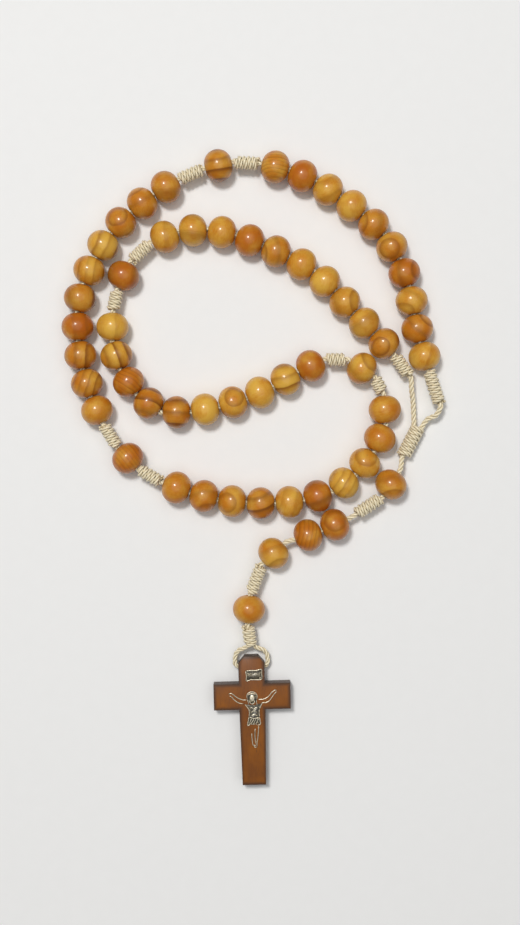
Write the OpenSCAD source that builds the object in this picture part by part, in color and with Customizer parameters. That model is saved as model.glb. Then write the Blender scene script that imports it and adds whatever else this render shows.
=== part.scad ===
// A corded and knotted five-decade rosary, lying flat in one layer.
// Every bead, knot and stretch of cord is placed by its length along the string,
// so a change of size moves its neighbours along with it.

/* [Beads] */
// Diameter of a bead across its hole
bead_d = 8.2; // [6:0.1:10]
// Length of a bead along its hole, before drilling
bead_len = 7.05; // [5.5:0.05:9]
// Diameter of the hole drilled through a bead
bead_hole_d = 2.2; // [1.8:0.1:3]
// Free space between two neighbours on the string
string_gap = 0.16; // [0.16:0.02:0.6]

/* [Cord and knots] */
// Diameter of the twisted cord
cord_d = 1.4; // [1:0.1:1.6]
// Diameter of a wrapped knot
knot_d = 3.5; // [2.8:0.1:4.4]
// Length that one turn of cord takes up in a wrapped knot
wrap_pitch = 1.15; // [0.9:0.05:1.5]
// Turns of cord in the knot that closes the loop
centre_knot_turns = 8; // [6:1:10]
// Diameter of the knot that closes the loop
centre_knot_d = 4; // [3.2:0.1:4.8]
// Turns of cord in the two long knots of the pendant
pendant_knot_turns = 7; // [5:1:9]
// Turns of cord in the knot above the cross
foot_knot_turns = 5; // [4:1:7]
// Bare cord between the closing knot and the first bead of the pendant
top_bare = 2.6; // [2:0.1:6]
// Bare cord between the upper knot of the pendant and its first Ave
upper_bare = 1.8; // [1.8:0.1:4]
// Bare cord between the last two Aves of the pendant
lower_bare = 2.4; // [2.2:0.1:5]

/* [Cross] */
// Height of the cross
cross_h = 32.4; // [26:0.2:42]
// Span of the arms
cross_w = 19.4; // [16:0.2:26]
// Width of the post at the head and under the arms
post_w = 6.6; // [5.6:0.1:8]
// Width of the post at the foot
foot_w = 5.9; // [5:0.1:8]
// Height of an arm
arm_h = 6.5; // [5:0.1:8]
// Distance from the top of the cross to the upper edge of the arms
head_h = 6.9; // [6:0.1:10]
// Thickness of the cross
cross_t = 4.6; // [4:0.1:6]
// Bevel at the two upper corners of the head, across the post
bevel_x = 1.6; // [0:0.1:2]
// Bevel at the two upper corners of the head, down the post
bevel_y = 1.8; // [0:0.1:2.5]
// Diameter of the hole from side to side through the head
cross_hole_d = 2.2; // [2:0.1:3]
// Distance of that hole below the top
cross_hole_drop = 2.75; // [2.6:0.05:3.2]

/* [Foil figure] */
// Thickness of the stamped foil
foil_t = 0.25; // [0.2:0.05:0.5]
// Height of the figure from its crown to its feet
figure_h = 14.5; // [12:0.5:16]
// Span from hand to hand
figure_w = 12; // [10:0.5:14]
// Width of the plaque above the figure
plaque_w = 4.2; // [3.6:0.1:4.6]
// Height of the plaque above the figure
plaque_h = 2.6; // [2:0.1:3]

/* [Hidden] */

bead_r = bead_d / 2;
cord_r = cord_d / 2;
decades = 5;
aves = 10;
// Clearance between a turning knot or cord end and the cord that stops at it
turn_gap = 0.05;
// Free space left where the string turns and two beads lean together
lean_gap = 0.14;
// Length of cord held inside a knot of the same body
grip = 0.5;
// How far the two bare cords go into the closing knot, and how far apart
tail_entry = 1.3;
tail_spread = 0.75;
// Distance from an end of the loop to the start of its bare cord
tail_setback = 0.5;
// Distance from the middle of a gap to the cord inside a bead that turns on it
mouth_setback = 0.2;
// Free space between beads of two strands that lie side by side, and the chosen layout's room for it
side_gap = 0.15;
strand_room = 8.3;
// The chosen layout's room from the middle of decade 5's last knot to that of the bead beside it
knot_room = 5.9;
// Height of the loop of cord above the hole in the cross, and its space beside the head
loop_rise = 5.1;
leg_gap = 0.15;
// The cross lies turned by this many degrees
cross_turn = 1.5;
// Distance below the hole of the crown of the figure and of the top of the plaque
figure_drop = 5.8;
plaque_drop = 0.65;
// Distance of the plaque to the right of the middle of the post
plaque_aside = 0.5;
// The closing knot lies a little above the surface
low_z = centre_knot_d / 2 + 0.2;
cord_sides = 8;
round_fn = 48;
limb_fn = 16;

bead_tone = [0.78, 0.55, 0.27];
pater_tone = [0.66, 0.38, 0.16];
cord_tone = [0.92, 0.88, 0.74];
cross_tone = [0.42, 0.23, 0.1];
foil_tone = [0.86, 0.8, 0.64];

// Points the string of the loop passes through, from the first knot of decade 1
// round to the last knot of decade 5
loop_route = [
    [46.5, 15.5], [44.5, 21.5], [42.5, 28], [40.5, 35], [39.5, 42], [37.5, 49], [34.5, 55.5], [29.5, 61],
    [24, 65.5], [18, 69.5], [11.5, 73], [4.5, 75], [-2.5, 76], [-9.5, 75], [-16.5, 72.5], [-23, 69],
    [-29, 64.5], [-34, 60], [-38, 54], [-41.5, 47.5], [-43.5, 40.5], [-43.5, 33], [-42.5, 25.5],
    [-40.5, 18.5], [-37.5, 11.5], [-34, 5.5], [-29.5, 0.5], [-24, -3], [-17.5, -5.5], [-11, -7.5],
    [-4, -8.5], [3, -9], [10, -8.5], [17, -7], [23, -4], [27.5, 0.5], [31, 5.5], [33, 10.5], [33, 16],
    [31, 21.5], [27, 25], [21.5, 27.5], [15.5, 26], [9, 22.5], [3, 19], [-4, 16.5], [-11, 14.5],
    [-18, 13.5], [-22, 13.5], [-26, 15.5], [-29.5, 19], [-32.5, 23.5], [-34.5, 29], [-35, 34.5],
    [-34.5, 41], [-32.5, 47.5], [-29, 53], [-23.5, 57], [-16.5, 59], [-9, 59], [-2, 57], [5, 54],
    [11.5, 51], [17.5, 47], [22, 42], [27, 36.5], [32, 31.5], [36, 27], [39, 22.5]
];
// Points of the two bare cords between the loop and the knot that closes it
left_tail_route = [[39.5, 19, bead_r - 0.4], [40, 15.5, low_z + 0.4]];
right_tail_route = [[45.5, 13, bead_r - 0.5], [43.5, 12, low_z + 0.4]];
// Points the string of the pendant passes through, from the knot that closes the loop
pendant_route = [
    [41.5, 10.5, low_z], [39, 6, low_z], [37, 2, low_z + 0.9], [36, -2, bead_r + 0.2], [33, -6.5, bead_r],
    [27.5, -10.5, bead_r], [20, -14.5, bead_r], [13, -17, bead_r], [6.5, -19.5, bead_r], [2.5, -23.5, bead_r],
    [0, -29.5, bead_r], [-1.5, -35.5, bead_r], [-1, -40.5, bead_r], [-0.5, -44.5, bead_r - 1]
];

// Turns in the ten knots of the loop, in the order of the string
loop_turns = [8, 6, 6, 6, 6, 4, 5, 5, 6, 6];

function knot_len(turns) = turns * wrap_pitch;

// A smooth curve through a list of points, with steps parts between two of them
function curve_point(a, b, c, d, t) =
    (2 * b + (c - a) * t + (2 * a - 5 * b + 4 * c - d) * t * t
     + (3 * b - a - 3 * c + d) * t * t * t) / 2;
function smooth(pts, steps = 8) = [
    for (i = [0 : len(pts) - 2], k = [0 : steps - 1])
        curve_point(pts[max(i - 1, 0)], pts[i], pts[i + 1], pts[min(i + 2, len(pts) - 1)], k / steps),
    pts[len(pts) - 1]
];

// Distance along the string to each of its points
function running(pts) = [
    for (i = 0, s = 0; i < len(pts); s = s + norm(pts[min(i + 1, len(pts) - 1)] - pts[i]), i = i + 1) s
];
function total(list, i = 0) = i >= len(list) ? 0 : list[i] + total(list, i + 1);
function last(list) = list[len(list) - 1];

// The point at a distance along a dense curve
function at_length(pts, along, s) = [
    for (axis = [0 : 2]) lookup(s, [for (i = [0 : len(pts) - 1]) [along[i], pts[i][axis]]])
];
// The middle of each gap on the string, when the pieces are threaded one after another
function stations(lens, gaps) = [
    for (i = 0, s = 0; i <= len(lens); s = s + (i < len(lens) ? (gaps[i] + gaps[i + 1]) / 2 + lens[i] : 0),
         i = i + 1) s
];
function string_need(lens, gaps) = last(stations(lens, gaps));

function unit(v) = v / norm(v);
function middle(ends, i) = (ends[i] + ends[i + 1]) / 2;
function heading(ends, i) = unit(ends[i + 1] - ends[i]);
function bend(ends, i) = acos(min(1, heading(ends, i - 1) * heading(ends, i)));

// Where the string turns, beads lean together at the inner edges of their holes, so the gap opens
round_off = bead_r - bead_len / 2;
mouth_z = sqrt(pow(bead_len / 2, 2) - pow(bead_hole_d / 2 - round_off, 2));
function leaning_pitch(angle) = max(
    2 * mouth_z + bead_hole_d * tan(angle / 2),
    (bead_len + 2 * round_off * sin(angle / 2)) / cos(angle / 2)
);
function leaning_gaps(ends) = [
    for (i = [0 : len(ends) - 1])
        i == 0 || i == len(ends) - 1 ? string_gap
        : max(string_gap, leaning_pitch(bend(ends, i)) - bead_len + lean_gap)
];
// The gaps along a route, found by threading it evenly first
function route_gaps(route, lens) =
    let (curve = smooth(route), along = running(curve), even = (last(along) - total(lens)) / len(lens),
         ends = [for (s = stations(lens, [for (i = [0 : len(lens)]) even])) at_length(curve, along, s)])
        leaning_gaps(ends);

// The loop's pieces in order: each decade is a knot, ten beads and a knot,
// and a bead stands between two decades
loop_lens = [
    for (d = [0 : decades - 1])
        each concat([knot_len(loop_turns[2 * d])], [for (i = [1 : aves]) bead_len],
                    [knot_len(loop_turns[2 * d + 1])], d < decades - 1 ? [bead_len] : [])
];
per_decade = aves + 3;

// The pendant's pieces in order, with its bare stretches of cord
pendant_lens = [
    knot_len(centre_knot_turns), top_bare, bead_len, knot_len(pendant_knot_turns), upper_bare,
    bead_len, bead_len, lower_bare, bead_len, knot_len(pendant_knot_turns), bead_len,
    knot_len(foot_knot_turns)
];

// The layout grows as a whole until the pieces fit on the string and strands side by side clear each other
function raise(pts) = [for (p = pts) [p[0], p[1], bead_r]];
loop_leaning = route_gaps(raise(loop_route), loop_lens);
pendant_leaning = route_gaps(pendant_route, pendant_lens);
lay = max(
    string_need(loop_lens, loop_leaning) / last(running(smooth(raise(loop_route)))),
    string_need(pendant_lens, pendant_leaning) / last(running(smooth(pendant_route))),
    (bead_d + side_gap) / strand_room,
    (bead_r + knot_d / 2 + side_gap) / knot_room
);
function laid(p) = [lay * p[0], lay * p[1], p[2]];
function laid_all(pts) = [for (p = pts) laid(p)];

// What the loop's route has to spare goes evenly into its gaps
loop_curve = smooth(laid_all(raise(loop_route)));
loop_along = running(loop_curve);
loop_spare = (last(loop_along) - string_need(loop_lens, loop_leaning)) / len(loop_lens);
loop_gaps = [for (gap = loop_leaning) gap + loop_spare];
loop_ends = [for (s = stations(loop_lens, loop_gaps)) at_length(loop_curve, loop_along, s)];

// What the pendant's route has to spare lengthens its topmost bare stretch
pendant_curve = smooth(laid_all(pendant_route));
pendant_along = running(pendant_curve);
pendant_spare = last(pendant_along) - string_need(pendant_lens, pendant_leaning);
pendant_laid_lens = [for (i = [0 : len(pendant_lens) - 1]) pendant_lens[i] + (i == 1 ? pendant_spare : 0)];
pendant_gaps = pendant_leaning;
pendant_ends = [
    for (s = stations(pendant_laid_lens, pendant_gaps)) at_length(pendant_curve, pendant_along, s)
];

// The middle of a piece, centred between its two gaps
function seat(ends, gaps, i) = middle(ends, i) + (gaps[i] - gaps[i + 1]) / 4 * heading(ends, i);
// The point at a distance past the start of a piece, along its own axis
function past_start(ends, i, s) = ends[i] + s * heading(ends, i);
function before_end(ends, i, s) = ends[i + 1] - s * heading(ends, i);
// Where the cord ends inside a knot: past the gap and gripped by it
function into_start(ends, gaps, i) = past_start(ends, i, gaps[i] / 2 + grip);
function into_end(ends, gaps, i) = before_end(ends, i, gaps[i + 1] / 2 + grip);

// A frame whose z axis points along a direction
function turn_to(v) = [0, acos(v[2] / norm(v)), atan2(v[1], v[0])];
module facing(point, direction) {
    translate(point) rotate(turn_to(direction)) children();
}

module bead() {
    rotate_extrude($fn = round_fn)
        difference() {
            translate([bead_r - bead_len / 2, 0]) circle(d = bead_len, $fn = round_fn);
            translate([-bead_len, -bead_len]) square([bead_len + bead_hole_d / 2, 2 * bead_len]);
        }
}

// A wrapped knot, a barrel with round ends
module knot(turns, d) {
    straight = knot_len(turns) - d;
    rotate_extrude($fn = round_fn)
        intersection() {
            union() {
                translate([0, -straight / 2]) square([d / 2, straight]);
                translate([0, straight / 2]) circle(d = d, $fn = round_fn);
                translate([0, -straight / 2]) circle(d = d, $fn = round_fn);
            }
            translate([0, -knot_len(turns)]) square([d, 2 * knot_len(turns)]);
        }
}

module loop_bead(i) {
    facing(seat(loop_ends, loop_gaps, i), heading(loop_ends, i)) bead();
}

module loop_knot(i, turns) {
    facing(seat(loop_ends, loop_gaps, i), heading(loop_ends, i)) knot(turns, knot_d);
}

// A round cord swept along points, one ring at each; a domed start is rounded off like the cord's end
function path_heading(pts, i) = unit(pts[min(i + 1, len(pts) - 1)] - pts[max(i - 1, 0)]);
function ring(pts, i, r) =
    let (t = path_heading(pts, i), u = unit(cross(t, abs(t[2]) < 0.9 ? [0, 0, 1] : [1, 0, 0])),
         w = cross(t, u))
        [for (k = [0 : cord_sides - 1])
            pts[i] + r * (cos(360 * k / cord_sides) * u + sin(360 * k / cord_sides) * w)];
dome_angles = [75, 40];
module swept_cord(pts, domed = false) {
    back = unit(pts[0] - pts[1]);
    path = concat(domed ? [for (a = dome_angles) pts[0] + cord_r * sin(a) * back] : [], pts);
    radii = concat(domed ? [for (a = dome_angles) cord_r * cos(a)] : [], [for (p = pts) cord_r]);
    rings = len(path);
    points = [for (i = [0 : rings - 1]) each ring(path, i, radii[i])];
    sides = [
        for (i = [0 : rings - 2], k = [0 : cord_sides - 1])
            let (a = i * cord_sides + k, b = i * cord_sides + (k + 1) % cord_sides)
                each [[a, b, b + cord_sides], [a, b + cord_sides, a + cord_sides]]
    ];
    near_cap = [for (k = [cord_sides - 1 : -1 : 0]) k];
    far_cap = [for (k = [0 : cord_sides - 1]) (rings - 1) * cord_sides + k];
    polyhedron(points, concat(sides, [near_cap, far_cap]));
}

// Decades, counted from 1
function first_knot_at(d) = (d - 1) * per_decade;
function last_knot_at(d) = first_knot_at(d) + aves + 1;
function pater_at(d) = first_knot_at(d) + aves + 2;
function first_turns(d) = loop_turns[2 * d - 2];
function last_turns(d) = loop_turns[2 * d - 1];

module decade_beads(d) {
    color(bead_tone)
        for (i = [1 : aves]) loop_bead(first_knot_at(d) + i);
}

module decade_cord(d) {
    first = first_knot_at(d);
    last_one = last_knot_at(d);
    color(cord_tone)
        swept_cord(concat(
            [into_end(loop_ends, loop_gaps, first)],
            [for (i = [first + 1 : last_one]) loop_ends[i]],
            [into_start(loop_ends, loop_gaps, last_one)]));
}

module decade_first_knot(d) {
    color(cord_tone) loop_knot(first_knot_at(d), first_turns(d));
}

module decade_last_knot(d) {
    color(cord_tone) loop_knot(last_knot_at(d), last_turns(d));
}

module pater(d) {
    color(pater_tone) loop_bead(pater_at(d));
}

// The straight cord inside a bead that turns on it, ending at the mouths of its hole
module pater_cord(d) {
    i = pater_at(d);
    color(cord_tone)
        facing(seat(loop_ends, loop_gaps, i), heading(loop_ends, i))
            cylinder(r = cord_r, h = bead_len - 2 * mouth_setback, center = true, $fn = round_fn);
}

// Where the pendant turns: below the closing knot, above the first Ave and between the last two
top_pivot = past_start(pendant_ends, 1, cord_r + turn_gap);
upper_pivot = past_start(pendant_ends, 4, cord_r + turn_gap);
lower_pivot = middle(pendant_ends, 7);

module pendant_bead(i, tone) {
    color(tone) facing(seat(pendant_ends, pendant_gaps, i), heading(pendant_ends, i)) bead();
}

module pendant_knot(i, turns, d) {
    color(cord_tone)
        facing(seat(pendant_ends, pendant_gaps, i), heading(pendant_ends, i)) knot(turns, d);
}

module centre_knot() {
    pendant_knot(0, centre_knot_turns, centre_knot_d);
}

// A bare cord from an end of the loop down into the knot that closes it
module tail_cord(start, toward, route, side) {
    axis = heading(pendant_ends, 0);
    across = unit(cross(axis, [0, 0, 1]));
    entry = past_start(pendant_ends, 0, tail_entry) + side * tail_spread * across;
    color(cord_tone)
        swept_cord(concat([start + tail_setback * toward], laid_all(route), [entry]));
}

module left_tail_cord() {
    tail_cord(last(loop_ends), heading(loop_ends, len(loop_lens) - 1), left_tail_route, 1);
}

module right_tail_cord() {
    tail_cord(loop_ends[0], -heading(loop_ends, 0), right_tail_route, -1);
}

module pendant_cord() {
    color(cord_tone)
        swept_cord([top_pivot, pendant_ends[2], pendant_ends[3], into_start(pendant_ends, pendant_gaps, 3)],
                   domed = true);
}

module aves_cord() {
    stop = lower_pivot - (cord_r + turn_gap) * heading(pendant_ends, 7);
    color(cord_tone)
        swept_cord([upper_pivot, pendant_ends[5], pendant_ends[6], pendant_ends[7], stop], domed = true);
}

module drop_cord() {
    color(cord_tone) {
        swept_cord([lower_pivot, pendant_ends[8], pendant_ends[9], into_start(pendant_ends, pendant_gaps, 9)],
                   domed = true);
        swept_cord([into_end(pendant_ends, pendant_gaps, 9), pendant_ends[10], pendant_ends[11],
                    into_start(pendant_ends, pendant_gaps, 11)]);
    }
}

// The cross's own frame: x across the hole in its head, y up the post, on the surface
hang_tip = last(pendant_ends);
module at_cross() {
    translate([hang_tip[0], hang_tip[1], 0]) rotate([0, 0, cross_turn]) translate([0, -loop_rise, 0])
        children();
}

head_top = cross_hole_drop;
arm_top = head_top - head_h;
arm_low = arm_top - arm_h;
foot_y = head_top - cross_h;
hole_z = cross_t / 2;

// The loop of cord that carries the cross: down one side of the head, through it and up the other side
leg_x = post_w / 2 + cord_r + leg_gap;
half_loop = [
    [0.4, loop_rise + 0.7, hang_tip[2]], [1.5, loop_rise - 0.35, hang_tip[2] - 0.1],
    [2.9, loop_rise - 0.85, hang_tip[2] - 0.2], [leg_x - 0.3, loop_rise - 1.9, hole_z + 0.2],
    [leg_x, 1.7, hole_z], [leg_x - 0.1, 0.6, hole_z], [post_w / 2 - 0.1, 0, hole_z]
];
loop_points = concat(
    [for (p = half_loop) [-p[0], p[1], p[2]]],
    [for (i = [len(half_loop) - 1 : -1 : 0]) half_loop[i]]
);

module cross_loop_cord() {
    color(cord_tone) at_cross() swept_cord(loop_points);
}

module cross() {
    color(cross_tone) at_cross()
        difference() {
            linear_extrude(cross_t)
                polygon([
                    [-foot_w / 2, foot_y], [foot_w / 2, foot_y], [post_w / 2, arm_low],
                    [cross_w / 2, arm_low], [cross_w / 2, arm_top], [post_w / 2, arm_top],
                    [post_w / 2, head_top - bevel_y], [post_w / 2 - bevel_x, head_top],
                    [bevel_x - post_w / 2, head_top], [-post_w / 2, head_top - bevel_y],
                    [-post_w / 2, arm_top], [-cross_w / 2, arm_top], [-cross_w / 2, arm_low],
                    [-post_w / 2, arm_low]
                ]);
            translate([0, 0, hole_z]) rotate([0, 90, 0])
                cylinder(d = cross_hole_d, h = 2 * post_w, center = true, $fn = round_fn);
        }
}

// A tapering limb of the figure with round ends
module limb(a, b, wide_a, wide_b) {
    hull() {
        translate(a) circle(d = wide_a, $fn = limb_fn);
        translate(b) circle(d = wide_b, $fn = limb_fn);
    }
}

// The figure, drawn in shares of its height from the crown down and of its span
module figure_outline() {
    h = figure_h;
    hand = figure_w / 2;
    crown = figure_drop;
    head = 0.17 * h;
    translate([0, -crown - head / 2]) circle(d = head, $fn = limb_fn);
    for (side = [-1, 1]) {
        limb([side * 0.1 * h, -crown - 0.24 * h], [side * 0.6 * hand, -crown - 0.12 * h], 0.09 * h, 0.06 * h);
        limb([side * 0.6 * hand, -crown - 0.12 * h], [side * (hand - 0.03 * h), -crown - 0.03 * h],
             0.06 * h, 0.06 * h);
        limb([side * 0.045 * h, -crown - 0.62 * h], [side * 0.03 * h, -crown - 0.78 * h], 0.09 * h, 0.07 * h);
        limb([side * 0.03 * h, -crown - 0.78 * h], [side * 0.02 * h, -crown - 0.98 * h], 0.07 * h, 0.04 * h);
    }
    limb([0, -crown - 0.16 * h], [0, -crown - 0.27 * h], 0.1 * h, 0.2 * h);
    limb([0, -crown - 0.27 * h], [0, -crown - 0.5 * h], 0.2 * h, 0.13 * h);
    limb([0, -crown - 0.52 * h], [0, -crown - 0.6 * h], 0.17 * h, 0.2 * h);
}

module corpus_foil() {
    color(foil_tone) at_cross() translate([0, 0, cross_t]) linear_extrude(foil_t) figure_outline();
}

module titulus_foil() {
    color(foil_tone) at_cross()
        translate([plaque_aside - plaque_w / 2, -plaque_drop - plaque_h, cross_t])
            cube([plaque_w, plaque_h, foil_t]);
}

centre_knot();
left_tail_cord();
right_tail_cord();
pater_cord(1);  // pater_1_cord
pater_cord(2);  // pater_2_cord
pater_cord(3);  // pater_3_cord
pater_cord(4);  // pater_4_cord
decade_beads(1);  // decade_1_beads
decade_cord(1);  // decade_1_cord
decade_first_knot(1);  // decade_1_first_knot
decade_last_knot(1);  // decade_1_last_knot
decade_beads(2);  // decade_2_beads
decade_cord(2);  // decade_2_cord
decade_first_knot(2);  // decade_2_first_knot
decade_last_knot(2);  // decade_2_last_knot
decade_beads(3);  // decade_3_beads
decade_cord(3);  // decade_3_cord
decade_first_knot(3);  // decade_3_first_knot
decade_last_knot(3);  // decade_3_last_knot
decade_beads(4);  // decade_4_beads
decade_cord(4);  // decade_4_cord
decade_first_knot(4);  // decade_4_first_knot
decade_last_knot(4);  // decade_4_last_knot
decade_beads(5);  // decade_5_beads
decade_cord(5);  // decade_5_cord
decade_first_knot(5);  // decade_5_first_knot
decade_last_knot(5);  // decade_5_last_knot
pater(1);  // pater_1
pater(2);  // pater_2
pater(3);  // pater_3
pater(4);  // pater_4
pendant_cord();
pendant_bead(2, pater_tone);  // pendant_upper_pater
pendant_knot(3, pendant_knot_turns, knot_d);  // pendant_upper_knot
aves_cord();
pendant_bead(5, bead_tone);  // pendant_ave_1
pendant_bead(6, bead_tone);  // pendant_ave_2
drop_cord();
pendant_bead(8, bead_tone);  // pendant_ave_3
pendant_knot(9, pendant_knot_turns, knot_d);  // pendant_middle_knot
pendant_bead(10, pater_tone);  // pendant_lower_pater
pendant_knot(11, foot_knot_turns, knot_d);  // foot_knot
cross_loop_cord();
cross();
corpus_foil();
titulus_foil();
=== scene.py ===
import math
import random

import bmesh
import bpy
import numpy as np
from mathutils import Matrix, Vector


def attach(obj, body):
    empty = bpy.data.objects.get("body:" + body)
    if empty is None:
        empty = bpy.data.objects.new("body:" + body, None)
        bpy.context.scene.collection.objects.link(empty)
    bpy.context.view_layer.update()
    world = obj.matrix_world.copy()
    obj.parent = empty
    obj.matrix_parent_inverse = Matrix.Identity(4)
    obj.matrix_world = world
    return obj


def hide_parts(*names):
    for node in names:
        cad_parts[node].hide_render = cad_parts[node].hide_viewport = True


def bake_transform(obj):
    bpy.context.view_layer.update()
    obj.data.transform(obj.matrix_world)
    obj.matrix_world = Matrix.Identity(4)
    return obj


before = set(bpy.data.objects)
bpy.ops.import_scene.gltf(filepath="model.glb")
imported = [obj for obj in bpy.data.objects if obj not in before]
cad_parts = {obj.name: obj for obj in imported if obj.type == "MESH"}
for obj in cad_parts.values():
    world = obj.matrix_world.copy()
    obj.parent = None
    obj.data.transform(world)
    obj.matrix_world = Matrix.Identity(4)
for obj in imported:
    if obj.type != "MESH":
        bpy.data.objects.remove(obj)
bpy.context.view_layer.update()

random.seed(59)
MM = 0.001

# ---------------------------------------------------------------------------
# Sizes of the pieces on the string, in metres
# ---------------------------------------------------------------------------
# A bead is a little wider across than it is long along its hole
BEAD_D = 0.0082
BEAD_LEN = 0.00705
HOLE_D = 0.0022
STRING_GAP = 0.00016
CORD_D = 0.0014
KNOT_D = 0.0035
WRAP_PITCH = 0.00115
CENTRE_KNOT_D = 0.004
CENTRE_KNOT_TURNS = 8
PENDANT_KNOT_TURNS = 7
FOOT_KNOT_TURNS = 5
LOOP_TURNS = [8, 6, 6, 6, 6, 4, 5, 5, 6, 6]
TOP_BARE, UPPER_BARE, LOWER_BARE = 0.0026, 0.0018, 0.0024
DECADES, AVES = 5, 10
# Beads that lean together where the string turns keep this far apart
LEAN_GAP = 0.00014
TURN_GAP = 0.00005
# How far an end of cord reaches into its knot
GRIP = 0.0005
TAIL_ENTRY, TAIL_SPREAD, TAIL_SETBACK = 0.0013, 0.00075, 0.0005
# The gap between neighbouring strands, and how close two strings, or a string and a knot, come in the layout
SIDE_GAP, STRAND_ROOM, KNOT_ROOM = 0.00015, 0.0083, 0.0059

BEAD_R = BEAD_D / 2
CORD_R = CORD_D / 2
LOW_Z = CENTRE_KNOT_D / 2 + 0.0002

# Sizes of the cross, in its own frame: x across the hole, y up the post
CROSS_H, CROSS_W, CROSS_T = 0.0324, 0.0194, 0.0046
POST_W, FOOT_W, ARM_H, HEAD_H = 0.0066, 0.0059, 0.0065, 0.0069
BEVEL_X, BEVEL_Y = 0.0016, 0.0018
CROSS_HOLE_D, CROSS_HOLE_DROP = 0.0022, 0.00275
LOOP_RISE, LEG_GAP, CROSS_TURN = 0.0051, 0.00015, 1.5
FOIL_T = 0.00025

# Points the string of the loop passes through, from decade 1 round to decade 5
LOOP_ROUTE = [
    (0.0465, 0.0155), (0.0445, 0.0215), (0.0425, 0.028), (0.0405, 0.035), (0.0395, 0.042), (0.0375, 0.049),
    (0.0345, 0.0555), (0.0295, 0.061), (0.024, 0.0655), (0.018, 0.0695), (0.0115, 0.073), (0.0045, 0.075),
    (-0.0025, 0.076), (-0.0095, 0.075), (-0.0165, 0.0725), (-0.023, 0.069), (-0.029, 0.0645),
    (-0.034, 0.06), (-0.038, 0.054), (-0.0415, 0.0475), (-0.0435, 0.0405), (-0.0435, 0.033),
    (-0.0425, 0.0255), (-0.0405, 0.0185), (-0.0375, 0.0115), (-0.034, 0.0055), (-0.0295, 0.0005),
    (-0.024, -0.003), (-0.0175, -0.0055), (-0.011, -0.0075), (-0.004, -0.0085), (0.003, -0.009),
    (0.01, -0.0085), (0.017, -0.007), (0.023, -0.004), (0.0275, 0.0005), (0.031, 0.0055), (0.033, 0.0105),
    (0.033, 0.016), (0.031, 0.0215), (0.027, 0.025), (0.0215, 0.0275), (0.0155, 0.026), (0.009, 0.0225),
    (0.003, 0.019), (-0.004, 0.0165), (-0.011, 0.0145), (-0.018, 0.0135), (-0.022, 0.0135),
    (-0.026, 0.0155), (-0.0295, 0.019), (-0.0325, 0.0235), (-0.0345, 0.029), (-0.035, 0.0345),
    (-0.0345, 0.041), (-0.0325, 0.0475), (-0.029, 0.053), (-0.0235, 0.057), (-0.0165, 0.059),
    (-0.009, 0.059), (-0.002, 0.057), (0.005, 0.054), (0.0115, 0.051), (0.0175, 0.047), (0.022, 0.042),
    (0.027, 0.0365), (0.032, 0.0315), (0.036, 0.027), (0.039, 0.0225),
]
# Points of the two bare cords between the loop and the knot that closes it
LEFT_TAIL_ROUTE = [(0.0395, 0.019, BEAD_R - 0.0004), (0.04, 0.0155, LOW_Z + 0.0004)]
RIGHT_TAIL_ROUTE = [(0.0455, 0.013, BEAD_R - 0.0005), (0.0435, 0.012, LOW_Z + 0.0004)]
# Points the string of the pendant passes through, from the knot that closes the loop
PENDANT_ROUTE = [
    (0.0415, 0.0105, LOW_Z), (0.039, 0.006, LOW_Z), (0.037, 0.002, LOW_Z + 0.0009),
    (0.036, -0.002, BEAD_R + 0.0002), (0.033, -0.0065, BEAD_R), (0.0275, -0.0105, BEAD_R),
    (0.02, -0.0145, BEAD_R), (0.013, -0.017, BEAD_R), (0.0065, -0.0195, BEAD_R), (0.0025, -0.0235, BEAD_R),
    (0, -0.0295, BEAD_R), (-0.0015, -0.0355, BEAD_R), (-0.001, -0.0405, BEAD_R),
    (-0.0005, -0.0445, BEAD_R - 0.001),
]


# ---------------------------------------------------------------------------
# Threading: every piece is placed by its length along the string
# ---------------------------------------------------------------------------
def smooth(points, steps=8):
    """A smooth curve through the points, with steps parts between two of them."""
    points = np.array(points, float)
    count = len(points)
    curve = []
    for i in range(count - 1):
        a, b, c, d = (points[min(max(k, 0), count - 1)] for k in (i - 1, i, i + 1, i + 2))
        for k in range(steps):
            t = k / steps
            curve.append((2 * b + (c - a) * t + (2 * a - 5 * b + 4 * c - d) * t ** 2
                          + (3 * b - a - 3 * c + d) * t ** 3) / 2)
    return np.array(curve + [points[-1]])


def running(points):
    """Distance along a curve to each of its points."""
    return np.concatenate([[0], np.cumsum(np.linalg.norm(np.diff(points, axis=0), axis=1))])


def at_length(points, distances):
    along = running(points)
    return np.stack([np.interp(distances, along, points[:, axis]) for axis in range(3)], axis=1)


def stations(lens, gaps):
    """The middle of each gap, when the pieces are threaded one after another."""
    steps = [(gaps[i] + gaps[i + 1]) / 2 + lens[i] for i in range(len(lens))]
    return np.concatenate([[0], np.cumsum(steps)])


def unit(vector):
    return vector / np.linalg.norm(vector)


ROUND_OFF = BEAD_R - BEAD_LEN / 2
MOUTH_Z = math.sqrt((BEAD_LEN / 2) ** 2 - (HOLE_D / 2 - ROUND_OFF) ** 2)


def leaning_pitch(angle):
    return max(2 * MOUTH_Z + HOLE_D * math.tan(angle / 2),
               (BEAD_LEN + 2 * ROUND_OFF * math.sin(angle / 2)) / math.cos(angle / 2))


def route_gaps(route, lens):
    """The gaps along a route: where the string turns, beads lean together and the gap opens."""
    curve = smooth(route)
    even = (running(curve)[-1] - sum(lens)) / len(lens)
    ends = at_length(curve, stations(lens, [even] * (len(lens) + 1)))
    headings = [unit(b - a) for a, b in zip(ends, ends[1:])]
    bends = [math.acos(min(1, float(a @ b))) for a, b in zip(headings, headings[1:])]
    inner = [max(STRING_GAP, leaning_pitch(bend) - BEAD_LEN + LEAN_GAP) for bend in bends]
    return np.array([STRING_GAP] + inner + [STRING_GAP])


def knot_len(turns):
    return turns * WRAP_PITCH


def raised(route):
    return [(x, y, BEAD_R) for x, y in route]


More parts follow.
